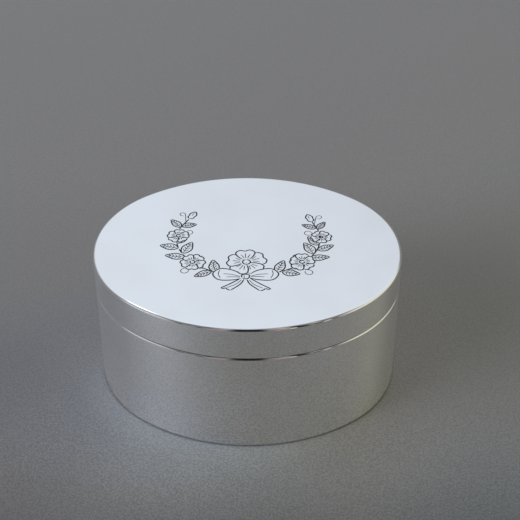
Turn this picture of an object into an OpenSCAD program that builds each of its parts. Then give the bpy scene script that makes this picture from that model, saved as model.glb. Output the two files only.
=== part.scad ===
/* [Outline] */
// Length of the box over its two ends
box_length = 80; // [72:1:100]
// Width of the box from front to back
box_width = 66; // [52:1:70]

/* [Body] */
// Height of the body from the table to its rim
body_height = 30; // [22:0.5:50]
// Thickness of the sheet that the body's band is bent from
band_wall = 1.2; // [0.9:0.1:2]
// Radius of the rounded outer edge of the body's rim
rim_round = 0.8; // [0.3:0.05:1]
// Width of the flat ring on the rim that the lid sits on, at least
rim_seat = 0.25; // [0.15:0.05:0.3]
// Thickness of the base plate
base_thickness = 1; // [0.6:0.1:2]
// Radius of the polished edge round the underside
base_round = 0.4; // [0.2:0.05:0.5]

/* [Collar] */
// Thickness of the collar's sheet
collar_wall = 0.8; // [0.5:0.1:1.2]
// Depth that the collar reaches below the rim
collar_depth = 6; // [4:0.5:9]
// Room between the top of the collar and the pad inside the lid
collar_headroom = 1; // [0.5:0.1:1.5]
// Film of solder between the collar and the body's band
solder_gap = 0.05; // [0.03:0.01:0.08]
// Running clearance all round between the collar and the lid's band
slip_gap = 0.1; // [0.05:0.01:0.1]

/* [Lid] */
// Height of the lid from its lower edge to its flat top
lid_height = 9.3; // [8:0.1:16]
// Thickness of the lid's top plate
lid_plate_thickness = 1.2; // [0.9:0.1:1.6]
// Radius of the lid's rounded top edge
lid_round = 0.9; // [0.4:0.05:1.2]
// Radius of the lid's lower outer edge
lid_lower_round = 0.4; // [0.2:0.05:0.6]

/* [Lining] */
// Thickness of the card that stiffens the lining
card_thickness = 0.6; // [0.4:0.1:1]
// Thickness of the velvet, backing and pile together
velvet_thickness = 0.7; // [0.5:0.1:1]
// Thickness of the wadding under the velvet on the floor
floor_wadding_thickness = 1.8; // [1:0.1:3]
// Thickness of the wadding under the velvet in the lid
lid_wadding_thickness = 0.9; // [0.6:0.1:1.2]
// Width of the velvet that is turned under each pad's card
hem_width = 5; // [3:0.5:8]
// Film of glue, or slack, between one layer of the lining and the next
glue_gap = 0.05; // [0.03:0.01:0.1]
// Slack round each pad where it is pressed into place
pad_gap = 0.2; // [0.1:0.05:0.4]

/* [Hidden] */
$fn = 160;
overrun = 0.5;
lap = 0.002;

// The oval has four arcs, laid out on right triangles with sides of 3, 4 and 5 steps: an end's
// centre lies 3 steps along the box, a side's centre 4 steps across it, and the two arcs meet
// in line with both centres, so their radii differ by 5 steps.
half_length = box_length / 2;
half_width = box_width / 2;
triangle_step = (half_length - half_width) / 2;
end_centre = 3 * triangle_step;
side_centre = 4 * triangle_step;
end_radius = half_width - triangle_step;
side_radius = half_width + side_centre;
reach = half_length / 2;

// Insets are measured inward from the box's outer line.
collar_inset = band_wall + solder_gap;
lid_wall = collar_inset - slip_gap;
rim_edge = min(rim_round, lid_wall - rim_seat);

// The inside of the lid, from its ceiling down to the top of the collar.
box_height = body_height + lid_height;
lid_ceiling = box_height - lid_plate_thickness;
pad_skin = velvet_thickness + glue_gap;
lid_pad_thickness = 2 * pad_skin + card_thickness + glue_gap + lid_wadding_thickness;
lid_pad_low = lid_ceiling - glue_gap - lid_pad_thickness;
lid_pad_inset = lid_wall + pad_gap;
collar_top = lid_pad_low - collar_headroom;
collar_low = body_height - collar_depth;

// The lining of the body, from the wall inward and from the base upward.
wall_card_inset = band_wall + glue_gap;
wall_velvet_inset = wall_card_inset + card_thickness + glue_gap;
wall_lining_low = base_thickness + glue_gap;
wall_lining_high = collar_low - glue_gap;
floor_pad_inset = wall_velvet_inset + velvet_thickness + pad_gap;
floor_pad_low = base_thickness + glue_gap;
floor_pad_thickness = 2 * pad_skin + card_thickness + glue_gap + floor_wadding_thickness;

silver = [0.86, 0.87, 0.88];
velvet_blue = [0.1, 0.13, 0.3];
card_grey = [0.6, 0.58, 0.54];
wadding_white = [0.92, 0.91, 0.88];

// What is cut away to round one corner, with the arc's centre at the origin
module corner_waste(round) {
    difference() {
        square(round + overrun);
        circle(round);
    }
}

// One side of a section through a plate or a band, from its inner radius to its outer one
module section(outer, low, high, wall, top_round, low_round, inner_round) {
    inner = wall > 0 ? outer - wall : 0;
    difference() {
        translate([inner, low]) square([outer - inner, high - low]);
        if (top_round > 0)
            translate([outer - top_round, high - top_round]) corner_waste(top_round);
        if (low_round > 0)
            translate([outer - low_round, low + low_round]) mirror([0, 1]) corner_waste(low_round);
        if (inner_round > 0)
            translate([inner + inner_round, high - inner_round]) mirror([1, 0])
                corner_waste(inner_round);
    }
}

// The stretch of the plan that one arc sweeps, spreading from its centre past the outline
module sweep_of(corners, low, high) {
    translate([0, 0, low - overrun]) linear_extrude(high - low + 2 * overrun) polygon(corners);
}

// A section carried round the oval's four arcs. With no wall given it is a solid plate. The
// ends' sweeps start a hair early, so that neighbouring arcs share a sliver and join as one.
module oval(inset, low, high, wall = 0, top_round = 0, low_round = 0, inner_round = 0) {
    apex = end_centre - lap;
    end_sweep = [[apex, 0], [apex + 3 * reach, -4 * reach], [apex + 3 * reach, 4 * reach]];
    side_sweep = [[0, -side_centre], [3 * reach, 4 * reach - side_centre],
                  [-3 * reach, 4 * reach - side_centre]];
    for (turn = [0, 180]) rotate(turn) {
        intersection() {
            translate([end_centre, 0, 0]) rotate_extrude()
                section(end_radius - inset, low, high, wall, top_round, low_round, inner_round);
            sweep_of(end_sweep, low, high);
        }
        intersection() {
            translate([0, -side_centre, 0]) rotate_extrude()
                section(side_radius - inset, low, high, wall, top_round, low_round, inner_round);
            sweep_of(side_sweep, low, high);
        }
    }
}

// A pad lying on its back at height 0: velvet drawn over card and wadding and turned under
module pad_velvet(inset, thickness, wadding) {
    difference() {
        oval(inset, 0, thickness, top_round = wadding + velvet_thickness);
        oval(inset + pad_skin - glue_gap, velvet_thickness, thickness - velvet_thickness,
             top_round = wadding);
        oval(inset + hem_width, -overrun, velvet_thickness + overrun);
    }
}

module pad_wadding(inset, thickness, wadding) {
    top = thickness - pad_skin;
    oval(inset + pad_skin, top - wadding, top, top_round = wadding - glue_gap);
}

module pad_card(inset) {
    oval(inset + pad_skin, pad_skin, pad_skin + card_thickness);
}

module base_plate() {
    color(silver) oval(0, 0, base_thickness, low_round = base_round);
}

module body_band() {
    color(silver) oval(0, base_thickness, body_height, band_wall, top_round = rim_edge);
}

// The strip soldered inside the rim, with both of its upper edges eased for the lid
module collar() {
    ease = collar_wall / 4;
    color(silver)
        oval(collar_inset, collar_low, collar_top, collar_wall, top_round = ease, inner_round = ease);
}

module wall_lining_card() {
    color(card_grey) oval(wall_card_inset, wall_lining_low, wall_lining_high, card_thickness);
}

module wall_lining_velvet() {
    ease = velvet_thickness / 2;
    color(velvet_blue)
        oval(wall_velvet_inset, wall_lining_low, wall_lining_high, velvet_thickness,
             inner_round = ease);
}

module floor_card() {
    color(card_grey) translate([0, 0, floor_pad_low]) pad_card(floor_pad_inset);
}

module floor_wadding() {
    color(wadding_white) translate([0, 0, floor_pad_low])
        pad_wadding(floor_pad_inset, floor_pad_thickness, floor_wadding_thickness);
}

module floor_velvet() {
    color(velvet_blue) translate([0, 0, floor_pad_low])
        pad_velvet(floor_pad_inset, floor_pad_thickness, floor_wadding_thickness);
}

module lid_plate() {
    edge = min(lid_round, lid_plate_thickness);
    color(silver) oval(0, lid_ceiling, box_height, top_round = edge);
}

module lid_band() {
    color(silver) oval(0, body_height, lid_ceiling, lid_wall, low_round = lid_lower_round);
}

// The lid's pad is the same pad turned over, with its hem against the ceiling
module in_the_lid() {
    translate([0, 0, lid_ceiling - glue_gap]) mirror([0, 0, 1]) children();
}

module lid_card() {
    color(card_grey) in_the_lid() pad_card(lid_pad_inset);
}

module lid_wadding() {
    color(wadding_white) in_the_lid()
        pad_wadding(lid_pad_inset, lid_pad_thickness, lid_wadding_thickness);
}

module lid_velvet() {
    color(velvet_blue) in_the_lid()
        pad_velvet(lid_pad_inset, lid_pad_thickness, lid_wadding_thickness);
}

base_plate();
body_band();
collar();
wall_lining_card();
wall_lining_velvet();
floor_card();
floor_wadding();
floor_velvet();
lid_plate();
lid_band();
lid_card();
lid_wadding();
lid_velvet();
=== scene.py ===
"""An oval silver-plated trinket box with a lift-off lid and a velvet lining.

Lengths are in metres, but in millimetres where a name ends in _mm. Each section is one piece of
the box, in the order in which the box is put together.
"""

import math
import random

import bpy
import numpy as np
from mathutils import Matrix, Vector, noise
from mathutils.geometry import delaunay_2d_cdt


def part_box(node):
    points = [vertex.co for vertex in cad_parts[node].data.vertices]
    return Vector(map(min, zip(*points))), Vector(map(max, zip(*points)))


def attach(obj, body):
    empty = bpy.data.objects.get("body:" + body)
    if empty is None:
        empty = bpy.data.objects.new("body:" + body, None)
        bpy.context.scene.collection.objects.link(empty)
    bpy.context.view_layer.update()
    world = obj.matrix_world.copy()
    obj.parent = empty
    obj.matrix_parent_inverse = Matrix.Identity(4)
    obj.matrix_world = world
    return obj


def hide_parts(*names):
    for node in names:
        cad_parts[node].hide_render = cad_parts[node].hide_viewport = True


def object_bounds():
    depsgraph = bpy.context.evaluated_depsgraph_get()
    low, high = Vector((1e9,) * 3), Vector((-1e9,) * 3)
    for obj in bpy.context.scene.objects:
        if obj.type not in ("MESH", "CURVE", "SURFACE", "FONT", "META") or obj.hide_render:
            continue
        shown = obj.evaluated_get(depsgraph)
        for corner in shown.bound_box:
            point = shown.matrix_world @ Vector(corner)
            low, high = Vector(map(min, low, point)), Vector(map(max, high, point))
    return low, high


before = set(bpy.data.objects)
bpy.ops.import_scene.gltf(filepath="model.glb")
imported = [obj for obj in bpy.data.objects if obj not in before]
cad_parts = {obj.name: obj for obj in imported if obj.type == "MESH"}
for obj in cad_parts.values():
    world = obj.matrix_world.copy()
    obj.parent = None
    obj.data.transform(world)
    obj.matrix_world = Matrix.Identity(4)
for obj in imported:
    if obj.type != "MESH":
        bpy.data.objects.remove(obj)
cad_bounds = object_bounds()

# ---- Camera
# It looks down on the box from in front with a long lens, aimed near the middle of the lid's top,
# and a little to one side of the box's own centre line.
MM = 0.001
CAMERA_TURN_DEG, CAMERA_HEIGHT_DEG = 1.72, 37.42
CAMERA_AWAY_MM, CAMERA_ASIDE_MM, CAMERA_LOWERED_MM = 315.4, 3.264, 3.352
SENSOR_MM, LENS_MM = 36, 84.157


def way_to(round_deg, up_deg):
    """The way from the box to what stands so far round from its front and so far up."""
    turn, rise = math.radians(round_deg), math.radians(up_deg)
    return math.sin(turn) * math.cos(rise), -math.cos(turn) * math.cos(rise), math.sin(rise)


towards_camera = Vector(way_to(CAMERA_TURN_DEG, CAMERA_HEIGHT_DEG))
camera_right = Vector(way_to(CAMERA_TURN_DEG + 90, 0))
camera_up = towards_camera.cross(camera_right)
camera = bpy.data.objects.new("camera", bpy.data.cameras.new("camera"))
camera.data.sensor_width = SENSOR_MM
camera.data.lens = LENS_MM
camera.data.clip_start = 0.01
camera.location = (
    Vector((0, 0, cad_bounds[1].z))
    + CAMERA_AWAY_MM * MM * towards_camera
    + CAMERA_ASIDE_MM * MM * camera_right
    - CAMERA_LOWERED_MM * MM * camera_up
)
camera.rotation_euler = (-towards_camera).to_track_quat("-Z", "Y").to_euler()
bpy.context.scene.collection.objects.link(camera)
bpy.context.scene.camera = camera
bpy.context.scene.view_settings.view_transform = "Standard"


# ---- Table and light
# The box stands on a sheet of matt grey paper. A wide soft light behind and above it fills the
# mirror of the lid, a window lights it from the left, and the room in front of it is dark.
def new_material(name, **sockets):
    """A material, its node tree and its shader, with constant values set on the shader."""
    material = bpy.data.materials.new(name)
    material.use_nodes = True
    shader = material.node_tree.nodes["Principled BSDF"]
    for socket, value in sockets.items():
        shader.inputs[socket.replace("_", " ")].default_value = value
    return material, material.node_tree, shader


def cloudy(tree, per_metre, detail=2.0, stretch=(1, 1, 1), turn=0.0):
    """Soft cloudy noise over a piece's own surface."""
    coordinates = tree.nodes.new("ShaderNodeTexCoord")
    mapping = tree.nodes.new("ShaderNodeMapping")
    mapping.inputs["Scale"].default_value = stretch
    mapping.inputs["Rotation"].default_value = (0, 0, turn)
    texture = tree.nodes.new("ShaderNodeTexNoise")
    texture.inputs["Scale"].default_value = per_metre
    texture.inputs["Detail"].default_value = detail
    tree.links.new(coordinates.outputs["Object"], mapping.inputs["Vector"])
    tree.links.new(mapping.outputs["Vector"], texture.inputs["Vector"])
    return texture.outputs["Fac"]


def ranged(tree, value, low, high, out_low=0.0, out_high=1.0):
    """A value carried from one range to another with soft ends."""
    node = tree.nodes.new("ShaderNodeMapRange")
    node.interpolation_type = "SMOOTHSTEP"
    for socket, number in zip(node.inputs[1:5], (low, high, out_low, out_high)):
        socket.default_value = number
    tree.links.new(value, node.inputs["Value"])
    return node.outputs["Result"]


def blended(tree, share, first, second):
    """Two colours mixed by a share. Each is a colour or another node's output."""
    node = tree.nodes.new("ShaderNodeMix")
    node.data_type = "RGBA"
    tree.links.new(share, node.inputs["Factor"])
    colour_sockets = [socket for socket in node.inputs if socket.type == "RGBA"]
    for socket, colour in zip(colour_sockets, (first, second)):
        if isinstance(colour, tuple):
            socket.default_value = (*colour, 1)
        else:
            tree.links.new(colour, socket)
    return next(socket for socket in node.outputs if socket.type == "RGBA")


def combined(tree, operation, first, second):
    """Two values put together by a Math node. Each is a number or another node's output."""
    node = tree.nodes.new("ShaderNodeMath")
    node.operation = operation
    for socket, value in zip(node.inputs, (first, second)):
        if isinstance(value, (int, float)):
            socket.default_value = value
        else:
            tree.links.new(value, socket)
    return node.outputs["Value"]


def vector_step(tree, operation, first, second=(0, 0, 0)):
    """Two vectors put together by a Vector Math node. The second may be constant or left out."""
    node = tree.nodes.new("ShaderNodeVectorMath")
    node.operation = operation
    tree.links.new(first, node.inputs[0])
    if isinstance(second, tuple):
        node.inputs[1].default_value = second
    else:
        tree.links.new(second, node.inputs[1])
    gives_number = operation in ("DOT_PRODUCT", "DISTANCE", "LENGTH")
    return node.outputs["Value" if gives_number else "Vector"]


def bumped(tree, shader, height, depth_mm):
    """Raises the surface by a height map, depth_mm from its lowest to its highest."""
    bump = tree.nodes.new("ShaderNodeBump")
    bump.inputs["Distance"].default_value = depth_mm * MM
    tree.links.new(height, bump.inputs["Height"])
    tree.links.new(bump.outputs["Normal"], shader.inputs["Normal"])


def new_piece(name, points, faces, *materials):
    """A mesh object with these points and faces."""
    mesh = bpy.data.meshes.new(name)
    mesh.from_pydata(points, [], faces)
    for material in materials:
        mesh.materials.append(material)
    piece = bpy.data.objects.new(name, mesh)
    bpy.context.scene.collection.objects.link(piece)
    return piece


def position(tree, axis):
    """How far a spot of a piece lies along its own x, y or z axis, in metres."""
    coordinates = tree.nodes.new("ShaderNodeTexCoord")
    parted = tree.nodes.new("ShaderNodeSeparateXYZ")
    tree.links.new(coordinates.outputs["Object"], parted.inputs["Vector"])
    return parted.outputs[axis]


def graded(tree, value, stops, tint):
    """A tint that follows a value through stops of (value, share of the tint)."""
    first, last = stops[0][0], stops[-1][0]
    ramp = tree.nodes.new("ShaderNodeValToRGB")
    while len(ramp.color_ramp.elements) < len(stops):
        ramp.color_ramp.elements.new(0.5)
    for element, (place, level) in zip(ramp.color_ramp.elements, stops):
        element.position = (place - first) / (last - first)
    # A ramp sorts its elements as they move, so their colours are set once they are in place.
    for element, (place, level) in zip(ramp.color_ramp.elements, stops):
        element.color = (*(level * part for part in tint), 1)
    share = combined(tree, "DIVIDE", combined(tree, "SUBTRACT", value, first), last - first)
    tree.links.new(share, ramp.inputs["Fac"])
    return ramp.outputs["Color"]


PAPER_REACH, PAPER_DROP_MM = 2.5, 0.1
# The grain of the paper is crisp in front of the box and is lost farther back: stops of (how far
# back, share of the grain). Its noise is spread evenly about GRAIN_MIDDLE.
GRAINS_PER_METRE, GRAIN_MM, GRAIN_MIDDLE = 2000, 0.04, 0.5
GRAIN_LEFT = ((-0.045, 0.93), (-0.01, 0.62), (0.05, 0.38))
PAPER_DARK, PAPER_LIGHT = (0.143, 0.137, 0.133), (0.257, 0.248, 0.242)
PATCH_TONE, PATCHES_PER_METRE, PATCH_SHARE = (0.19, 0.183, 0.178), 14, 0.25
# Looked at straight, the paper falls off into shade to the front, by stops of (how far back, share
# of its tone), and in soft round patches at three places, each with its middle, the radii of its
# heart and its border, and its tint.
PAPER_SHADES = (
    (-0.062, 0.54),
    (-0.05, 0.74),
    (-0.042, 0.86),
    (-0.033, 0.91),
    (-0.012, 0.82),
    (0.045, 0.79),
    (0.09, 0.87),
    (0.22, 0.885),
)
PAPER_TINT = (0.965, 0.945, 0.925)
PAPER_CORNERS = (
    ((0.073, -0.061, 0), 0.014, 0.051, (0.72, 0.78, 0.795)),
    ((0.127, 0.032, 0), 0.036, 0.102, (0.876, 0.91, 0.83)),
    ((-0.07, -0.03, 0), 0.023, 0.048, (0.855, 0.843, 0.847)),
)
# The box throws some of the window's light on the paper in front of it: how far that reaches,
# counted in the box's own half length and half width, the way in which it goes, the cosines at its
# border and its heart, and its colour.
HALF_BOXES_PER_METRE = (25, 30.3, 0)
PAPER_THROWN = (
    (2.07, (-0.508, -0.862, 0), 0.25, 1.0, (1.23, 1.32, 1.38)),
    (1.3, (-0.1, -0.995, 0), 0.1, 0.6, (1.17, 1.17, 1.17)),
)
UNTINTED = (1, 1, 1)
LEVEL = (1, 1, 0)

paper, tree, shader = new_material("matt_paper", Roughness=0.48, Specular_IOR_Level=0.8)
crisp = graded(tree, position(tree, "Y"), GRAIN_LEFT, UNTINTED)
specks = cloudy(tree, per_metre=GRAINS_PER_METRE, detail=4.0)
grain = ranged(tree, specks, 0.36, 0.64, -GRAIN_MIDDLE, GRAIN_MIDDLE)
grain = combined(tree, "ADD", combined(tree, "MULTIPLY", grain, crisp), GRAIN_MIDDLE)
patches = ranged(tree, cloudy(tree, per_metre=PATCHES_PER_METRE), 0.3, 0.8, 0.0, PATCH_SHARE)
paper_tone = blended(tree, grain, PAPER_DARK, PAPER_LIGHT)
paper_tone = blended(tree, patches, paper_tone, PATCH_TONE)
shade = graded(tree, position(tree, "Y"), PAPER_SHADES, PAPER_TINT)
spot = tree.nodes.new("ShaderNodeTexCoord").outputs["Object"]
for middle, heart, border, tint in PAPER_CORNERS:
    near = ranged(tree, vector_step(tree, "DISTANCE", spot, middle), border, heart)
    shade = vector_step(tree, "MULTIPLY", shade, blended(tree, near, UNTINTED, tint))
half_boxes = vector_step(tree, "MULTIPLY", spot, HALF_BOXES_PER_METRE)
half_boxes_out = vector_step(tree, "LENGTH", half_boxes)
way_out = vector_step(tree, "NORMALIZE", vector_step(tree, "MULTIPLY", spot, LEVEL))
for reached, axis, border, heart, tint in PAPER_THROWN:
    near = ranged(tree, half_boxes_out, reached, 1.0)
    before = ranged(tree, vector_step(tree, "DOT_PRODUCT", way_out, axis), border, heart)
    thrown = combined(tree, "MULTIPLY", near, before)
    shade = vector_step(tree, "MULTIPLY", shade, blended(tree, thrown, UNTINTED, tint))
looked_at = tree.nodes.new("ShaderNodeLightPath").outputs["Is Camera Ray"]
shade = blended(tree, looked_at, UNTINTED, shade)
tree.links.new(vector_step(tree, "MULTIPLY", paper_tone, shade), shader.inputs["Base Color"])
bumped(tree, shader, grain, GRAIN_MM)
sheet_corners = [
    (across * PAPER_REACH, back * PAPER_REACH, -PAPER_DROP_MM * MM)
    for across, back in ((-1, -1), (1, -1), (1, 1), (-1, 1))
]
table = new_piece("table_paper", sheet_corners, [(0, 1, 2, 3)], paper)

# Each light is a soft round patch of the room: the way to it in degrees round from the front and
# up, how far its bright heart and its soft border reach in degrees, and its colour. The first
# list is what lights the box and the table, and the second is what the silver mirrors.
ROOM_TONE = (0.38, 0.415, 0.385)
ROOM_LIGHTS = (
    (180, 56, 5, 60, (0.53, 0.49, 0.58)),
    (-60, 30, 8, 20, (7.6, 8.4, 10.2)),
    (-90, 30, 8, 20, (2.0, 2.17, 2.73)),
    (100, 28, 8, 20, (4.45, 4.25, 2.3)),
)
SEEN_TONE = (0.2, 0.2, 0.2)
ROOM_SEEN = (
    (93, 5, 28, 42, (0.74, 0.73, 0.58)),
    (-62, 8, 10, 22, (0.6, 0.61, 0.62)),
    (128, 50, 14, 38, (0.68, 0.735, 0.83)),
    (-102, 64, 8, 28, (0.74, 0.8, 0.89)),
    (-148, 52, 5, 64, (0.73, 0.795, 0.9)),
    (-104, 57, 3, 8, (2.4, 2.45, 2.6)),
)
# What stands in front of the box is seen only as dashes along its rounded edges: the way round to
# each upright strip, half its width and its border in degrees, and its colour. The strips show low
# down and high up. Behind them, softer dark bands show at every height up to the strips' top.
ROOM_STRIPS = (
    (-38.7, 1.2, 3.0, (0.03, 0.03, 0.03)),
    (-26.5, 1.0, 2.6, (0.03, 0.03, 0.03)),
    (-17.0, 3.5, 6.5, (0.36, 0.3, 0.3)),
    (22.0, 2.5, 6.5, (0.42, 0.33, 0.29)),
    (27.0, 1.0, 2.6, (0.7, 0.66, 0.6)),
    (33.2, 2.8, 4.4, (0.006, 0.006, 0.005)),
    (41.6, 1.5, 3.2, (0.02, 0.02, 0.017)),
    (47.4, 1.2, 2.8, (0.7, 0.69, 0.58)),
    (52.3, 1.0, 2.4, (0.05, 0.05, 0.045)),
    (1.2, 8.5, 12.0, (0.004, 0.004, 0.006)),
)
DARK_BANDS = (
    (1.2, 5.0, 13.5, (0.03, 0.031, 0.034)),
    (33.2, 2.0, 4.4, (0.04, 0.04, 0.038)),
)
# The sines of the heights at which the strips end, leave off and start again, and how softly.
STRIP_TOP, TOP_SOFT = 0.93, 0.1
GAP_LOW, GAP_HIGH, GAP_SOFT = 0.22, 0.64, 0.06
world = bpy.data.worlds.new("studio")
world.use_nodes = True
bpy.context.scene.world = world
tree = world.node_tree
direction = tree.nodes.new("ShaderNodeTexCoord").outputs["Generated"]


def patch(way, round_deg, up_deg, heart_deg, border_deg):
    """How much of a patch of the room is seen along a way: 1 in its heart, 0 past its border."""
    border, heart = math.cos(math.radians(border_deg)), math.cos(math.radians(heart_deg))
    facing = vector_step(tree, "DOT_PRODUCT", way, way_to(round_deg, up_deg))
    return ranged(tree, facing, border, heart)


room_light, room_seen = ROOM_TONE, SEEN_TONE
for *place, colour in ROOM_LIGHTS:
    room_light = blended(tree, patch(direction, *place), room_light, colour)
for *place, colour in ROOM_SEEN:
    room_seen = blended(tree, patch(direction, *place), room_seen, colour)
level_way = vector_step(tree, "NORMALIZE", vector_step(tree, "MULTIPLY", direction, LEVEL))
height = vector_step(tree, "DOT_PRODUCT", direction, (0, 0, 1))
below_top = ranged(tree, height, STRIP_TOP, STRIP_TOP - TOP_SOFT)
low_down = ranged(tree, height, GAP_LOW + GAP_SOFT, GAP_LOW)
high_up = ranged(tree, height, GAP_HIGH - GAP_SOFT, GAP_HIGH)
in_strips = combined(tree, "MULTIPLY", combined(tree, "ADD", low_down, high_up), below_top)
for strips, reached in ((DARK_BANDS, below_top), (ROOM_STRIPS, in_strips)):
    for round_deg, half_deg, border_deg, colour in strips:
        share = patch(level_way, round_deg, 0, half_deg, border_deg)
        room_seen = blended(tree, combined(tree, "MULTIPLY", share, reached), room_seen, colour)
path = tree.nodes.new("ShaderNodeLightPath").outputs
straight = combined(tree, "LESS_THAN", path["Diffuse Depth"], 0.5)
mirrored = combined(tree, "MULTIPLY", straight, path["Is Glossy Ray"])
room = blended(tree, mirrored, room_light, room_seen)
tree.links.new(room, tree.nodes["Background"].inputs["Color"])

# ---- Base plate
# A flat oval plate of silver-plated sheet, soldered under the body's band. Its lower edge is
# polished round. The thin dark line where the box meets the table is dried polish and painted
# shadow: the silver is darkened within a fraction of a millimetre of the table, and so is the
# whole underside.
BASE_EDGE_MM = 0.4
FLAT_MM = 2
SILVER_BRIGHT, SILVER_TARNISHED = (0.962, 0.957, 0.945), (0.93, 0.918, 0.885)
HAZE_ROUGHNESS, WIPED_ROUGHNESS, SCRATCHED_ROUGHNESS = (0.015, 0.035), 0.07, 0.09
BUFFED_MM = 0.0012
# The tone and reach of that thin dark line: partly residue, partly painted shade.
RESIDUE_AND_SHADE_TONE = (0.07, 0.066, 0.06)
RESIDUE_AND_SHADE_MM, RESIDUE_AND_SHADE_FADE_MM = 0.2, 0.3
ARC_STEPS = 128
EDGE_STEPS = 12
half_length = (cad_bounds[1].x - cad_bounds[0].x) / 2
half_width = (cad_bounds[1].y - cad_bounds[0].y) / 2
triangle_step = (half_length - half_width) / 2
MEETING_ANGLE = math.atan2(4, 3)


def oval_line(arc_steps=ARC_STEPS):
    """Round the oval: each point's arc centre, the arc's radius and the way outward."""
    end_centre, side_centre = 3 * triangle_step, 4 * triangle_step
    end_radius = half_width - triangle_step
    side_radius = half_width + side_centre
    arcs = (
        (-MEETING_ANGLE, MEETING_ANGLE, (end_centre, 0), end_radius),
        (MEETING_ANGLE, math.pi - MEETING_ANGLE, (0, -side_centre), side_radius),
        (math.pi - MEETING_ANGLE, math.pi + MEETING_ANGLE, (-end_centre, 0), end_radius),
        (math.pi + MEETING_ANGLE, 2 * math.pi - MEETING_ANGLE, (0, side_centre), side_radius),
    )
    centres, radii, outward = [], [], []
    for start, stop, centre, radius in arcs:
        for angle in np.linspace(start, stop, arc_steps, endpoint=False):
            centres.append(centre)
            radii.append(radius)
            outward.append((math.cos(angle), math.sin(angle)))
    return np.array(centres), np.array(radii), np.array(outward)


def oval_ring(line, inset, height):
    """The points of the oval at an inset and a height, both in metres."""
    centres, radii, outward = line
    plan = centres + (radii - inset)[:, None] * outward
    return np.column_stack((plan, np.full(len(plan), height)))


def rounded_section(corners, closed):
    """Runs of points with their normals, through square corners of (inset, height, radius)."""
    corners = [(np.array((inset, height)), radius) for inset, height, radius in corners]
    count = len(corners)
    runs = []
    for at in range(count if closed else count - 1):
        (here, radius), (there, next_radius) = corners[at], corners[(at + 1) % count]
        along = (there - here) / np.linalg.norm(there - here)
        normal = np.array((along[1], -along[0]))
        if radius > 0:
            before = corners[at - 1][0]
            back = (before - here) / np.linalg.norm(before - here)
            middle = here + radius * (back + along)
            arc = []
            for angle in np.linspace(0, math.pi / 2, EDGE_STEPS + 1):
                way = -(math.cos(angle) * along + math.sin(angle) * back)
                arc.append((middle + radius * way, way))
            runs.append(arc)
        runs.append([(here + radius * along, normal), (there - next_radius * along, normal)])
    return runs


def swept(corners, closed):
    """A section carried round the oval: points, faces, exact normals, first and last rings."""
    line = oval_line()
    outward = line[2]
    count = len(outward)
    after = np.roll(np.arange(count), -1)
    points, faces, normals, ring_at = [], [], [], {}

    def ring_of(spot):
        key = (round(spot[0], 8), round(spot[1], 8))
        if key not in ring_at:
            ring_at[key] = len(ring_at) * count
            points.extend(oval_ring(line, spot[0], spot[1]).tolist())
        return ring_at[key]

    def normals_round(way):
        return np.column_stack((-way[0] * outward, np.full(count, way[1])))

    runs = rounded_section(corners, closed)
    for run in runs:
        for (here, here_way), (there, there_way) in zip(run, run[1:]):
            first, second = ring_of(here), ring_of(there)
            if first == second:
                continue
            here_out, there_out = normals_round(here_way), normals_round(there_way)
            for at in range(count):
                step = after[at]
                faces.append((first + at, second + at, second + step, first + step))
                normals += [here_out[at], there_out[at], there_out[step], here_out[step]]
    return points, faces, normals, ring_of(runs[0][0][0]), ring_of(runs[-1][-1][0]), count


def set_normals(piece, normals):
    """Gives each corner of each face its exact normal, so that the silver mirrors smoothly."""
    piece.data.normals_split_custom_set([Vector(normal) for normal in normals])


def polished_silver(name="polished_silver", dark_line_heights=(), residue_and_shade=RESIDUE_AND_SHADE_TONE):
    """Silver plate with a buffed mirror finish, faint wiping marks and a breath of tarnish."""
    material, tree, shader = new_material(name, Metallic=1.0)
    tarnish = ranged(tree, cloudy(tree, per_metre=55, detail=4.0), 0.35, 0.75)
    silver_tone = blended(tree, tarnish, SILVER_BRIGHT, SILVER_TARNISHED)
    # Near each given height the silver turns dark in a thin line: dried polish in a joint, and
    # painted shade where two parts, or the box and the table, meet.
    for dark_line_height in dark_line_heights:
        off = combined(tree, "SUBTRACT", position(tree, "Z"), dark_line_height)
        off = combined(tree, "ABSOLUTE", off, 0)
        left = ranged(tree, off, RESIDUE_AND_SHADE_FADE_MM * MM, RESIDUE_AND_SHADE_MM * MM)
        silver_tone = blended(tree, left, silver_tone, residue_and_shade)
    tree.links.new(silver_tone, shader.inputs["Base Color"])
    haze = ranged(tree, cloudy(tree, per_metre=90, detail=3.0), 0.35, 0.7, *HAZE_ROUGHNESS)
    wiping = cloudy(tree, per_metre=300, stretch=(1, 14, 6), turn=0.35)
    wiping = ranged(tree, wiping, 0.62, 0.74, 0.0, WIPED_ROUGHNESS)
    scratches = cloudy(tree, per_metre=500, stretch=(10, 1, 5), turn=-0.5)
    scratches = ranged(tree, scratches, 0.64, 0.74, 0.0, SCRATCHED_ROUGHNESS)
    marks = combined(tree, "ADD", wiping, scratches)
    tree.links.new(combined(tree, "ADD", haze, marks), shader.inputs["Roughness"])
    bumped(tree, shader, cloudy(tree, per_metre=220, detail=3.0), BUFFED_MM)
    return material


silver = polished_silver()
low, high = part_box("base_plate")
# Painted shadow and residue: the base's silver is darkened at its foot, where it stands on the
# table, and across its whole underside.
foot_residue_and_shadow_silver = polished_silver("silver_with_foot_residue_and_shadow", (low.z,))
points, faces, normals, top_ring, foot_ring, count = swept(
    [(0.0, high.z, 0), (0.0, low.z, BASE_EDGE_MM * MM), (FLAT_MM * MM, low.z, 0)], False
)
faces += [range(top_ring, top_ring + count), range(foot_ring + count - 1, foot_ring - 1, -1)]
normals += [(0, 0, 1)] * count + [(0, 0, -1)] * count
base = new_piece("polished_base", points, faces, foot_residue_and_shadow_silver)
set_normals(base, normals)
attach(base, "box")
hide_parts("base_plate")

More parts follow.
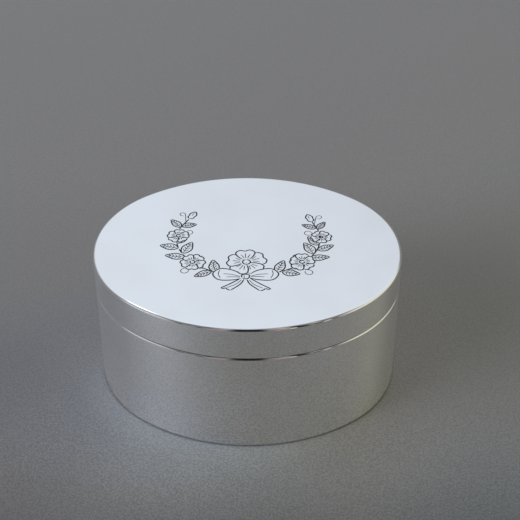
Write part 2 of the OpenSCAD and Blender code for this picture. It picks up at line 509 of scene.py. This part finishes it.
# ---- Body band
# One strip of the same sheet, bent round to the oval, soldered end to end and polished. Its top
# edge is rounded, so that a bright line runs round the box under the lid.
BAND_WALL_MM = 1.2
RIM_ROUND_MM = 0.8
EASED_MM = 0.12


def swept_band(name, corners, material):
    """A band round the oval, from a closed section."""
    points, faces, normals, *_ = swept(corners, True)
    piece = new_piece(name, points, faces, material)
    set_normals(piece, normals)
    return piece


low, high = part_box("body_band")
# The rim's top edge, and the lid band's lower edge that sits on it, are darkened to a fine line:
# dried polish and painted shade of the seam between lid and body.
SEAM_RESIDUE_AND_SHADE_TONE = (0.5, 0.49, 0.46)
seam_residue_and_shade_silver = polished_silver("silver_with_seam_residue_and_shade", (high.z,), SEAM_RESIDUE_AND_SHADE_TONE)
body = swept_band(
    "polished_body",
    [
        (0.0, high.z, RIM_ROUND_MM * MM),
        (0.0, low.z, 0),
        (BAND_WALL_MM * MM, low.z, 0),
        (BAND_WALL_MM * MM, high.z, EASED_MM * MM),
    ],
    seam_residue_and_shade_silver,
)
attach(body, "box")
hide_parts("body_band")

# ---- Collar
# A thinner strip soldered inside the rim. It stands up above it, with eased edges, and the lid
# slides down over it.
COLLAR_WALL_MM = 0.8
COLLAR_EASE_MM = 0.2
low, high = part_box("collar")
collar_inset = half_length - high.x
collar_inner = collar_inset + COLLAR_WALL_MM * MM
collar = swept_band(
    "polished_collar",
    [
        (collar_inset, high.z, COLLAR_EASE_MM * MM),
        (collar_inset, low.z, EASED_MM * MM),
        (collar_inner, low.z, EASED_MM * MM),
        (collar_inner, high.z, COLLAR_EASE_MM * MM),
    ],
    silver,
)
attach(collar, "box")
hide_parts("collar")


# ---- Wall lining, card
# A strip of grey lining card, curved round inside the body and glued to its wall. The velvet is
# mounted on it.
CARD_MM = 0.6
CARD_DARK, CARD_PALE, CARD_FLECK = (0.33, 0.3, 0.25), (0.46, 0.43, 0.37), (0.16, 0.14, 0.12)
CARD_NAP_MM = 0.06


def grey_card():
    """Rough grey pulp board with flecks and short fibres."""
    material, tree, shader = new_material("grey_card", Roughness=0.92, Specular_IOR_Level=0.2)
    fibres = cloudy(tree, per_metre=900, detail=5.0, stretch=(1, 6, 3), turn=0.6)
    flecks = cloudy(tree, per_metre=2600)
    card_tone = blended(tree, ranged(tree, fibres, 0.35, 0.7), CARD_DARK, CARD_PALE)
    card_tone = blended(tree, ranged(tree, flecks, 0.66, 0.74), card_tone, CARD_FLECK)
    tree.links.new(card_tone, shader.inputs["Base Color"])
    bumped(tree, shader, fibres, CARD_NAP_MM)
    return material


card = grey_card()


def dress(node, material):
    """Gives a CAD node that is shown as it is its own finish."""
    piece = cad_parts[node]
    piece.data.materials.clear()
    piece.data.materials.append(material)


dress("wall_lining_card", card)


# ---- Wall lining, velvet
# A strip of dark blue velvet glued on the card, with its pile to the inside and its upper edge
# turned over under the collar.
VELVET_MM = 0.7
TURNED_MM = 0.35
VELVET_DEEP, VELVET_BRUSHED = (0.012, 0.017, 0.075), (0.03, 0.042, 0.15)
VELVET_SHADOW, VELVET_SHEEN = (0.004, 0.006, 0.03), (0.42, 0.5, 0.85, 1)
PILE_MM = 0.22
STRIP_UNEVEN_MM, STRIP_SPOTS_MM, STRIP_SEED = 0.12, 6, 3
BACK_RINGS, PILE_RINGS = 10, 20
SOFT_STEPS = 72


def deep_velvet():
    """Short cotton pile that is brushed lighter and darker in patches, on a woven backing."""
    material, tree, shader = new_material(
        "deep_blue_velvet",
        Roughness=0.95,
        Specular_IOR_Level=0.15,
        Sheen_Weight=0.55,
        Sheen_Roughness=0.35,
        Sheen_Tint=VELVET_SHEEN,
    )
    brushed = cloudy(tree, per_metre=70, detail=3.0)
    tufts = cloudy(tree, per_metre=3800)
    pile = combined(tree, "MULTIPLY", tufts, ranged(tree, brushed, 0.3, 0.7, 0.6, 1.0))
    velvet_tone = blended(tree, ranged(tree, brushed, 0.35, 0.68), VELVET_DEEP, VELVET_BRUSHED)
    velvet_tone = blended(tree, ranged(tree, pile, 0.25, 0.6), VELVET_SHADOW, velvet_tone)
    tree.links.new(velvet_tone, shader.inputs["Base Color"])
    bumped(tree, shader, pile, PILE_MM)
    return material


def lofted(name, rings, material, ends=None, flipped=False):
    """A soft skin through rings of points. It closes on a point at each end, or on itself."""
    count = len(rings[0])
    points = np.concatenate(rings).tolist()
    faces = []
    pairs = list(zip(range(len(rings)), range(1, len(rings))))
    if ends is None:
        pairs.append((len(rings) - 1, 0))
    for first, second in pairs:
        for at in range(count):
            step = (at + 1) % count
            here, there = first * count, second * count
            faces.append((here + at, here + step, there + step, there + at))
    if ends is not None:
        for end, ring, turned in ((ends[0], 0, True), (ends[1], len(rings) - 1, False)):
            points.append(tuple(end))
            for at in range(count):
                fan = (ring * count + at, ring * count + (at + 1) % count, len(points) - 1)
                faces.append(fan[::-1] if turned else fan)
    if flipped:
        faces = [face[::-1] for face in faces]
    piece = new_piece(name, points, faces, material)
    piece.data.shade_smooth()
    return piece


def wander(point, size_mm, seed):
    """A smooth random number for a point, from about -1 to 1, that changes over size_mm."""
    return noise.noise(Vector(point) / (size_mm * MM) + Vector((seed, seed, seed)))


velvet = deep_velvet()
soft_line = oval_line(SOFT_STEPS)
low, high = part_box("wall_lining_velvet")
velvet_inset = half_length - high.x
strip_mm = (high.z - low.z) / MM
strip_section = [(0.0, height) for height in np.linspace(0, strip_mm, BACK_RINGS)]
for angle in np.linspace(math.pi / 12, math.pi / 2, 6):
    depth = VELVET_MM - TURNED_MM * (1 - math.sin(angle))
    strip_section.append((depth, strip_mm - TURNED_MM * (1 - math.cos(angle))))
strip_section += [(VELVET_MM, height) for height in np.linspace(strip_mm - 1, 0, PILE_RINGS)]
strip_rings = []
for depth_mm, height_mm in strip_section:
    ring = oval_ring(soft_line, velvet_inset + depth_mm * MM, low.z + height_mm * MM)
    if depth_mm > 0:
        push = [abs(wander(point, STRIP_SPOTS_MM, STRIP_SEED)) for point in ring]
        ring[:, :2] += soft_line[2] * (STRIP_UNEVEN_MM * MM * np.array(push)[:, None])
    strip_rings.append(ring)
wall_velvet = lofted("wall_velvet", strip_rings, velvet)
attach(wall_velvet, "box")
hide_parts("wall_lining_velvet")
middle = oval_ring(soft_line, velvet_inset + VELVET_MM * MM / 2, 0)

# ---- Floor pad
# A card oval with a layer of wadding on it and velvet drawn over both, its hem turned under and
# glued. It is pressed down onto the base inside the wall lining.
HEM_MM = 5.0
FOLD_MM = 0.5
GLUE_MM = 0.05
PAD_SKIN_MM = VELVET_MM + GLUE_MM
WADDING_LOW_MM = PAD_SKIN_MM + CARD_MM + GLUE_MM
FLOOR_WADDING_MM = 1.8
FLOOR_CROWN_MM = 0.5
FLOOR_FILL, FLOOR_SEED = 0.6, 5
WADDING_YELLOWED, WADDING_WHITE = (0.62, 0.59, 0.52), (0.86, 0.85, 0.81)
MATTED_MM = 0.3
# Rings of points over the back and over the face, for the velvet and for the wadding.
VELVET_RINGS, WADDING_RINGS = (14, 30), (10, 16)
# How high and how wide the uneven spots of a pad's face are.
PAD_UNEVEN_MM = ((0.16, 14), (0.05, 5))
SIMULATED_SCALE = 10
SHEET_RINGS, SHEET_EYE_SHARE = 20, 0.05
SHEET_SLACK = 0.008
SHEET_UNEVEN_MM, SHEET_SPOTS_MM = 2, 60
WADDING_PUSH = 4.0
SETTLING_FRAMES = 20
EVENED_SHARE = 0.9


def filled_face(inset, seed):
    """How the velvet of a pad's face stands up, from 0 to 1, over rings from its rim inward.

    A sheet glued at its rim, with a little slack, is filled from below by a cloth simulation. It
    is ten times life size, because the solver is steadier at the size of a cushion. Towards the
    middle its rings are evened out, where their points crowd together.
    """
    rim = oval_ring(oval_line(SOFT_STEPS // 2), inset, 0)[:, :2] * SIMULATED_SCALE
    count = len(rim)
    shares = np.linspace(1.0, SHEET_EYE_SHARE, SHEET_RINGS)
    points = []
    for share in shares:
        for x, y in rim * share:
            uneven = SHEET_UNEVEN_MM * MM * wander((x, y, 0), SHEET_SPOTS_MM, seed)
            points.append((x, y, uneven))
    faces = []
    for first in range(0, (SHEET_RINGS - 1) * count, count):
        for at in range(count):
            step = (at + 1) % count
            faces.append((first + at, first + step, first + count + step, first + count + at))
    faces.append(range((SHEET_RINGS - 1) * count, SHEET_RINGS * count))
    sheet = new_piece("simulated_sheet", points, faces)
    glued = sheet.vertex_groups.new(name="glued")
    glued.add(list(range(2 * count)), 1.0, "REPLACE")
    cloth = sheet.modifiers.new("cloth", "CLOTH")
    cloth.settings.vertex_group_mass = "glued"
    cloth.settings.use_pressure = True
    cloth.settings.uniform_pressure_force = WADDING_PUSH
    cloth.settings.effector_weights.gravity = 0
    cloth.settings.shrink_min = -SHEET_SLACK
    cloth.point_cache.frame_end = SETTLING_FRAMES
    for frame_number in range(1, SETTLING_FRAMES + 1):
        bpy.context.scene.frame_set(frame_number)
    settled = sheet.evaluated_get(bpy.context.evaluated_depsgraph_get()).to_mesh()
    lifts = np.array([vertex.co.z for vertex in settled.vertices]).reshape(SHEET_RINGS, count)
    bpy.context.scene.frame_set(1)
    bpy.data.objects.remove(sheet)
    lifts = np.clip(lifts / lifts.max(), 0, 1)
    for ring, share in zip(lifts, shares):
        reach = int(EVENED_SHARE / share)
        ring[:] = np.mean([np.roll(ring, step) for step in range(-reach, reach + 1)], axis=0)
    lifts[-1] = lifts[-1].mean()
    between = (lifts + np.roll(lifts, -1, axis=1)) / 2
    return shares[::-1], np.stack((lifts, between), axis=2).reshape(SHEET_RINGS, -1)[::-1]


def pad_skin(name, section, velvet_node, crown_mm, face, material, seed, upside_down=False):
    """One soft layer of a pad, through a section of (inset, height, share out from the middle)."""
    low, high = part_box(velvet_node)
    inset = half_length - high.x
    reach = np.linalg.norm(oval_ring(soft_line, inset, 0), axis=1)
    loft = (high.z - low.z) / MM - WADDING_LOW_MM
    rings = []
    for inset_mm, height_mm, share in section:
        ring = oval_ring(soft_line, inset + inset_mm * MM, 0) * share
        lift = max(0.0, (height_mm - WADDING_LOW_MM) / loft)
        for at, point in enumerate(ring):
            x, y = point[0], point[1]
            filled = np.interp(math.hypot(x, y) / reach[at], face[0], face[1][:, at])
            swell = crown_mm * (filled - 0.5)
            for uneven_mm, spots_mm in PAD_UNEVEN_MM:
                swell += uneven_mm * wander((x, y, 0), spots_mm, seed)
            height = (height_mm + lift * swell) * MM
            point[2] = high.z - height if upside_down else low.z + height
        rings.append(ring)
    ends = [(0, 0, float(ring[:, 2].mean())) for ring in (rings[0], rings[-1])]
    return lofted(name, rings, material, ends, flipped=upside_down)


def velvet_section(thickness_mm, round_mm):
    """From the middle of the velvet's back, round its turned hem, to the middle of its face."""
    back_round = round_mm - VELVET_MM
    back_mm = thickness_mm - VELVET_MM
    back_rings, face_rings = VELVET_RINGS
    section = [(round_mm, back_mm, share) for share in np.linspace(0.04, 0.96, back_rings)]
    for angle in np.linspace(0, math.pi / 2, 7):
        inset_mm = VELVET_MM + back_round * (1 - math.sin(angle))
        height_mm = back_mm - back_round * (1 - math.cos(angle))
        section.append((inset_mm, height_mm, 1.0))
    section += [(VELVET_MM, VELVET_MM, 1.0), (HEM_MM, VELVET_MM, 1.0), (HEM_MM, 0.0, 1.0)]
    section += [(share * HEM_MM, 0.0, 1.0) for share in (0.7, 0.4)] + [(FOLD_MM, 0.0, 1.0)]
    for angle in np.linspace(math.pi / 8, math.pi / 2, 4):
        section.append((FOLD_MM * (1 - math.sin(angle)), FOLD_MM * (1 - math.cos(angle)), 1.0))
    for angle in np.linspace(0, math.pi / 2, 11):
        inset_mm = round_mm * (1 - math.cos(angle))
        height_mm = thickness_mm - round_mm * (1 - math.sin(angle))
        section.append((inset_mm, height_mm, 1.0))
    section += [(round_mm, thickness_mm, share) for share in np.linspace(0.97, 0.03, face_rings)]
    return section


def wadding_section(thickness_mm, round_mm):
    """From the middle of the wadding's underside, over its soft edge, to the middle of its top."""
    back_rings, face_rings = WADDING_RINGS
    section = [(PAD_SKIN_MM, WADDING_LOW_MM, share) for share in np.linspace(0.05, 1, back_rings)]
    edge_mm, top_mm = PAD_SKIN_MM + round_mm, thickness_mm - PAD_SKIN_MM
    for angle in np.linspace(math.pi / 12, math.pi / 2, 6):
        inset_mm = edge_mm - round_mm * math.cos(angle)
        section.append((inset_mm, top_mm - round_mm * (1 - math.sin(angle)), 1.0))
    section += [(edge_mm, top_mm, share) for share in np.linspace(0.95, 0.05, face_rings)]
    return section


def white_wadding():
    """Matted white cotton fibres, slightly yellowed."""
    material, tree, shader = new_material(
        "white_wadding", Roughness=1.0, Specular_IOR_Level=0.1, Sheen_Weight=0.3
    )
    matted = cloudy(tree, per_metre=1400, detail=6.0, stretch=(1, 3, 1), turn=0.9)
    matted_share = ranged(tree, matted, 0.3, 0.7)
    wadding_tone = blended(tree, matted_share, WADDING_YELLOWED, WADDING_WHITE)
    tree.links.new(wadding_tone, shader.inputs["Base Color"])
    bumped(tree, shader, matted, MATTED_MM)
    return material


def lining_pad(place, body_name, wadding_mm, crown_mm, seed, upside_down=False):
    """The wadding and the velvet of one pad, over its card."""
    velvet_node, wadding_node = place + "_velvet", place + "_wadding"
    low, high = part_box(velvet_node)
    thickness_mm = (high.z - low.z) / MM
    round_mm = wadding_mm + VELVET_MM
    wadding_round = wadding_mm - GLUE_MM
    face = filled_face(half_length - high.x, seed)
    layers = (
        ("wadding", wadding_node, wadding_section(thickness_mm, wadding_round), wadding),
        ("velvet", velvet_node, velvet_section(thickness_mm, round_mm), velvet),
    )
    for slot, node, section, material in layers:
        name = place + "_pad_" + slot
        layer = pad_skin(name, section, velvet_node, crown_mm, face, material, seed, upside_down)
        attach(layer, body_name)
        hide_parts(node)
    dress(place + "_card", card)


wadding = white_wadding()
lining_pad("floor", "box", FLOOR_WADDING_MM, FLOOR_CROWN_MM, FLOOR_SEED)

# ---- Lid plate
# The flat top of the lid, soldered onto the lid's band and polished round along its edge. Two
# sprays of flowers tied with a bow are cut into it with a hand graver, as bright narrow grooves
# that have darkened inside.
LID_ROUND_MM = 0.9
MAIN_MM, FINE_MM = 0.36, 0.215
DEPTH_SHARE, LEAST_DEPTH_MM = 0.38, 0.012
END_TAPER = 3.2
SPAN_STEPS, CUT_STEP_MM = 14, 0.28
SAME_SPOT_MM = 0.00001
SPOTS_AT_ONCE = 800
PETALS = 5
BUD_MM = 2.9
HAND_SEED = 11
hand = random.Random(HAND_SEED)
# The flowers are laid out in millimetres from the middle of the lid. Each cut is a line and its
# width, and the outlines in front hide what is cut after them.
cuts = []
in_front = []


def drawn(points):
    """A smooth line through a few points, as evenly spaced points."""
    points = [np.array(point, float) for point in points]
    around = [2 * points[0] - points[1], *points, 2 * points[-1] - points[-2]]
    if np.allclose(points[0], points[-1]):
        around[0], around[-1] = points[-2], points[1]
    fine = []
    for before, here, there, after in zip(around, around[1:], around[2:], around[3:]):
        for t in np.linspace(0, 1, SPAN_STEPS, endpoint=False):
            bend = (2 * before - 5 * here + 4 * there - after) * t * t
            twist = (3 * here - before - 3 * there + after) * t**3
            fine.append(0.5 * (2 * here + (there - before) * t + bend + twist))
    fine = np.array([*fine, points[-1]])
    lengths = np.concatenate(([0], np.cumsum(np.linalg.norm(np.diff(fine, axis=0), axis=1))))
    at = np.linspace(0, lengths[-1], max(3, round(lengths[-1] / CUT_STEP_MM) + 1))
    return np.column_stack([np.interp(at, lengths, fine[:, axis]) for axis in (0, 1)])


def covered(outline, points):
    """Which points lie inside an outline."""
    x, y = points[:, 0, None], points[:, 1, None]
    x1, y1 = outline.T
    x2, y2 = np.roll(outline, -1, axis=0).T
    rise = np.where(y1 == y2, 1, y2 - y1)
    crossed = ((y1 > y) != (y2 > y)) & (x < x1 + (y - y1) * (x2 - x1) / rise)
    return crossed.sum(axis=1) % 2 == 1


def cut(points, width_mm):
    """Cuts a line, apart from where an outline that was cut before it lies in front."""
    line = drawn(points)
    hidden = np.zeros(len(line), bool)
    for outline in in_front:
        hidden |= covered(outline, line)
    run = []
    for point, unseen in [*zip(line, hidden), (None, True)]:
        if not unseen:
            run.append(point)
            continue
        if len(run) > 2:
            cuts.append((np.array(run), width_mm))
        run = []


def placed(x, y, size, way, spots):
    """A motif's own spots (along, across), as shares of its size, turned its way and in place."""
    cosine, sine = math.cos(way), math.sin(way)
    return [
        (x + size * (along * cosine - across * sine), y + size * (along * sine + across * cosine))
        for along, across in spots
    ]


def other_side(spots):
    """The spots mirrored to a motif's other side."""
    return [(along, -across) for along, across in spots]


def cut_motif(x, y, size, way, outline, details):
    """Cuts an outline with fine lines inside it, in front of all that is cut later."""
    cut(placed(x, y, size, way, outline), MAIN_MM)
    for detail in details:
        cut(placed(x, y, size, way, detail), FINE_MM)
    in_front.append(drawn(placed(x, y, size, way, outline)))


def cut_flower(x, y, size, turn):
    """Notched petals with three veins each, round a heart with seeds."""
    heart = [(0.2 * math.cos(t), 0.2 * math.sin(t)) for t in np.linspace(0, 2 * math.pi, 9)]
    seeds = [
        [(along, across), (along + 0.06, across + 0.03)]
        for along, across in ((-0.08, 0.0), (0.06, 0.08), (0.04, -0.1))
    ]
    cut_motif(x, y, size, turn, heart, seeds)
    edge = [(0.17, 0.1), (0.42, 0.36), (0.78, 0.5), (1.0, 0.26)]
    outline = [*other_side(edge), (0.92, 0.0), *edge[::-1]]
    vein = [(0.3, 0.08), (0.46, 0.15), (0.64, 0.24)]
    veins = [[(0.3, 0.0), (0.5, 0.01), (0.74, 0.0)], vein, other_side(vein)]
    for petal in range(PETALS):
        way = turn + petal * 2 * math.pi / PETALS + hand.uniform(-0.06, 0.06)
        reach = hand.uniform(0.94, 1.04)
        cut_motif(x, y, size * reach, way, outline, veins)


def cut_leaf(x, y, length, way):
    """A pointed leaf, a little bent, with a middle vein and ribs."""
    bend = hand.uniform(-0.14, 0.14)
    plump = hand.uniform(0.2, 0.25)

    def bent(spots):
        return [(along, across + bend * along * along) for along, across in spots]

    near_edge = [(0, 0), (0.2, plump * 0.72), (0.48, plump), (0.8, plump * 0.5), (1, 0)]
    edges = [placed(x, y, length, way, bent(near_edge))]
    edges.append(placed(x, y, length, way, bent(other_side(near_edge[::-1]))))
    details = [[(0.02, 0), (0.5, 0.01), (0.88, 0)]]
    for rib, share in ((0.22, 0.68), (0.38, 0.68), (0.54, 0.68), (0.68, 0.42)):
        for spread in (plump * share, -plump * share):
            details.append([(rib, 0), (rib + 0.07, spread * 0.5), (rib + 0.15, spread)])
    for edge in edges:
        cut(edge, MAIN_MM)
    for detail in details:
        cut(placed(x, y, length, way, bent(detail)), FINE_MM)
    in_front.append(np.concatenate([drawn(edge) for edge in edges]))


def cut_bud(x, y, size, way):
    """A closed petal in its cup."""
    petal = [(0.3, -0.22), (0.7, -0.32), (1.15, 0.0), (0.7, 0.32), (0.3, 0.22)]
    cut_motif(x, y, size, way, petal, [[(0.45, 0.0), (0.7, 0.05), (0.95, 0.0)]])
    cup = [(0, 0), (0.12, -0.26), (0.42, -0.26), (0.34, 0.0), (0.42, 0.26), (0.12, 0.26), (0, 0)]
    cut_motif(x, y, size, way, cup, [])


def cut_bow():
    """A ribbon's knot, two loops with folds and two forked tails, in millimetres on the lid.

    One side is a little larger and higher than the other, as a hand leaves them.
    """
    knot = [(-0.8, -12.9), (-0.95, -11.8), (0, -11.4), (0.95, -11.8), (0.8, -12.9), (0, -13.3)]
    cut_motif(0, 0, 1, 0, [*knot, knot[0]], [[(-0.3, -11.8), (-0.35, -12.4), (-0.25, -13.0)]])
    for side in (-1, 1):
        loop = [(0.7, -11.9), (2.9, -9.9), (6.4, -9.1), (8.3, -11.2), (6.8, -13.6), (3.3, -13.7)]
        loop = [(side * x, y + 0.15 * side) for x, y in [*loop, (0.7, -12.8)]]
        folds = [
            [(1.2, -12.3), (3.4, -11.5), (5.8, -11.2)],
            [(1.2, -12.5), (3.2, -12.4), (4.9, -12.5)],
            [(6.6, -9.6), (6.9, -11.3), (6.3, -13.1)],
        ]
        cut_motif(0, 0, 1, 0, loop, [[(side * x, y + 0.15 * side) for x, y in f] for f in folds])
        edges = (
            [(0.3, -13.2), (1.2, -15.4), (3.7, -18.0)],
            [(3.7, -18.0), (4.6, -17.5), (4.9, -16.9)],
            [(4.9, -16.9), (5.5, -17.3), (6.3, -17.1)],
            [(6.3, -17.1), (3.8, -15.3), (1.0, -12.9)],
        )
        tail = []
        for edge in edges:
            edge = [(side * x * (1 + 0.04 * side), y) for x, y in edge]
            cut(edge, MAIN_MM)
            tail += [*drawn(edge)]
        cut([(side * x, y) for x, y in [(0.9, -13.6), (2.3, -15.5), (4.6, -17.0)]], FINE_MM)
        in_front.append(np.array(tail))


def cut_curl(x, y, size, way, side):
    """A fine tendril that rolls up at its end."""
    curl = [(0, 0), (0.5, 0.02 * side)]
    for angle in np.linspace(0, 3.3 * math.pi / 2, 9):
        radius = 0.34 * (1 - 0.12 * angle)
        across = radius - radius * math.cos(angle) + 0.05
        curl.append((1 + radius * math.sin(angle), side * across))
    cut(placed(x, y, size, way, curl), FINE_MM)


def cut_spray(side, stem, flowers, leaves, curls):
    """One side of the garland, with its stem last, because all the rest lies over it.

    A flower is (share of the stem, how far aside, size, turn), and a leaf or a curl is (share of
    the stem, lean in degrees, size). Lengths are in millimetres.
    """
    path = drawn([(side * x, y) for x, y in stem])

    def spot(share):
        at = min(len(path) - 2, int(share * (len(path) - 1)))
        step = path[at + 1] - path[at]
        return path[at], math.atan2(step[1], step[0])

    for share, aside, size, turn in flowers:
        point, way = spot(share)
        cross = way + side * math.pi / 2
        x, y = point + aside * np.array((math.cos(cross), math.sin(cross)))
        cut_flower(x, y, size, turn)
    point, way = spot(1.0)
    cut_bud(*point, BUD_MM, way)
    for share, lean_deg, length in leaves:
        point, way = spot(share)
        lean = side * math.radians(lean_deg + hand.uniform(-5, 5))
        cut_leaf(*point, length * hand.uniform(0.94, 1.06), way + lean)
    for share, lean_deg, size in curls:
        point, way = spot(share)
        turned = 1 if lean_deg > 0 else -1
        cut_curl(*point, size, way + side * math.radians(lean_deg), side * turned)
    cut(path[::4], MAIN_MM)


cut_bow()
cut_flower(0, -6.3, 5.0, math.radians(97))
cut_spray(
    1,
    [(1.2, -11.8), (7, -10.8), (13.4, -7.2), (18.0, -0.8), (18.7, 6.4), (16.6, 12.2)],
    [(0.43, 0.4, 3.3, 0.4), (0.79, -0.3, 2.7, 1.1)],
    [
        (0.2, 48, 5.4),
        (0.24, -44, 5.0),
        (0.34, 52, 5.2),
        (0.5, -50, 5.6),
        (0.56, 46, 5.6),
        (0.62, -44, 5.2),
        (0.68, 50, 4.8),
        (0.88, -46, 4.2),
        (0.9, 48, 4.2),
    ],
    [(0.3, -30, 4.6), (0.72, 28, 4.4), (0.95, -30, 3.4)],
)
cut_spray(
    -1,
    [(1.2, -11.9), (7.2, -11.0), (13.8, -7.0), (18.1, -0.2), (18.3, 7.0), (15.8, 12.6)],
    [(0.4, 0.2, 3.2, 2.2), (0.76, 0.3, 2.8, 0.3)],
    [
        (0.19, 46, 5.2),
        (0.22, -46, 5.2),
        (0.31, 50, 5.0),
        (0.48, -48, 5.4),
        (0.53, 50, 5.6),
        (0.6, -46, 5.4),
        (0.66, 46, 5.0),
        (0.86, -48, 4.4),
        (0.88, 46, 4.4),
    ],
    [(0.28, -28, 4.6), (0.7, 30, 4.2), (0.94, -32, 3.4)],
)


def groove_chains():
    """Each cut's middle line and its two edges, which draw in to a point at both ends."""
    chains = []
    for line, width_mm in cuts:
        step = np.gradient(line, axis=0)
        side = np.column_stack((-step[:, 1], step[:, 0])) / np.linalg.norm(step, axis=1)[:, None]
        run = np.arange(len(line)) / (len(line) - 1)
        half = width_mm / 2 * np.minimum(1, END_TAPER * np.sqrt(run * (1 - run)))
        chains.append((line, line + side * half[:, None], line - side * half[:, None], half))
    return chains


def groove_depth(spots, chains):
    """How deep the cuts are at each spot, in millimetres."""
    starts = np.concatenate([middle[:-1] for middle, _, _, _ in chains])
    steps = np.concatenate([np.diff(middle, axis=0) for middle, _, _, _ in chains])
    first_half = np.concatenate([half[:-1] for *_, half in chains])
    grown = np.concatenate([np.diff(half) for *_, half in chains])
    deepest = []
    for part in np.array_split(spots, max(1, len(spots) // SPOTS_AT_ONCE)):
        gap = part[:, None] - starts
        share = np.clip((gap * steps).sum(-1) / (steps * steps).sum(-1), 0, 1)
        off = np.linalg.norm(gap - share[..., None] * steps, axis=-1)
        half = first_half + share * grown
        deepest.append((DEPTH_SHARE * 2 * (half - off)).max(axis=1))
    depth = np.concatenate(deepest)
    return np.where(depth > LEAST_DEPTH_MM, depth, 0)


def engraved_top(rim):
    """Triangles of the lid's flat top with its cuts, from the ring of points that bounds it."""
    chains = groove_chains()
    spots = [*map(tuple, rim)]
    lines = [(at, (at + 1) % len(rim)) for at in range(len(rim))]
    for middle, left, right, _ in chains:
        first = len(spots)
        spots += [*map(tuple, middle)]
        last = len(spots) - 1
        lines += [(at, at + 1) for at in range(first, last)]
        for edge in (left, right):
            start = len(spots)
            spots += [*map(tuple, edge[1:-1])]
            path = [first, *range(start, len(spots)), last]
            lines += [*zip(path, path[1:])]
    made = delaunay_2d_cdt([Vector(spot) for spot in spots], lines, [], 0, SAME_SPOT_MM)
    places = np.array([tuple(spot) for spot in made[0]])
    depth = groove_depth(places, chains)
    return places, depth, made[2], made[3]


GROOVE_DARK, GROOVE_WORN = (0.02, 0.02, 0.022), (0.07, 0.068, 0.065)
darkened, tree, shader = new_material("darkened_groove", Metallic=0.85)
soot = cloudy(tree, per_metre=700, detail=3.0)
groove_tone = blended(tree, ranged(tree, soot, 0.35, 0.7), GROOVE_DARK, GROOVE_WORN)
tree.links.new(groove_tone, shader.inputs["Base Color"])
tree.links.new(ranged(tree, soot, 0.3, 0.7, 0.4, 0.6), shader.inputs["Roughness"])

low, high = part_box("lid_plate")
points, faces, normals, top_ring, foot_ring, count = swept(
    [(2 * LID_ROUND_MM * MM, high.z, 0), (0.0, high.z, LID_ROUND_MM * MM), (0.0, low.z, 0)], False
)
faces.append(range(foot_ring + count - 1, foot_ring - 1, -1))
normals += [(0, 0, -1)] * count
rim = np.array(points[top_ring : top_ring + count])[:, :2] / MM
places, depth, triangles, sources = engraved_top(rim)
number = []
for at, source in enumerate(sources):
    on_rim = [spot for spot in source if spot < count]
    if on_rim:
        number.append(top_ring + on_rim[0])
        continue
    number.append(len(points))
    points.append((places[at][0] * MM, places[at][1] * MM, high.z - depth[at] * MM))
groove_faces = []
for triangle in triangles:
    if depth[list(triangle)].max() > 0:
        groove_faces.append(len(faces))
        a, b, c = (Vector(points[number[at]]) for at in triangle)
        normals += [(b - a).cross(c - a).normalized()] * 3
    else:
        normals += [(0, 0, 1)] * 3
    faces.append([number[at] for at in triangle])
lid_top = new_piece("polished_lid_top", points, faces, silver, darkened)
for face in groove_faces:
    lid_top.data.polygons[face].material_index = 1
set_normals(lid_top, normals)
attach(lid_top, "lid")
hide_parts("lid_plate")

# ---- Lid band
# A narrow strip bent to the same oval and soldered under the lid's plate. Its lower edge is
# softened, so that the joint between lid and body is a fine line.
LID_WALL_MM = 1.15
LOWER_ROUND_MM = 0.4
low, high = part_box("lid_band")
# Its lower edge is darkened with the rim's painted seam shade.
lid_band = swept_band(
    "polished_lid_band",
    [
        (0.0, high.z, 0),
        (0.0, low.z, LOWER_ROUND_MM * MM),
        (LID_WALL_MM * MM, low.z, EASED_MM * MM),
        (LID_WALL_MM * MM, high.z, 0),
    ],
    seam_residue_and_shade_silver,
)
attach(lid_band, "lid")
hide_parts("lid_band")

# ---- Lid pad
# The same pad as on the floor, but thinner and upside down, glued to the lid's ceiling by its
# turned hem.
LID_WADDING_MM = 0.9
LID_CROWN_MM = 0.35
LID_FILL, LID_SEED = 0.5, 9
lining_pad("lid", "lid", LID_WADDING_MM, LID_CROWN_MM, LID_SEED, upside_down=True)
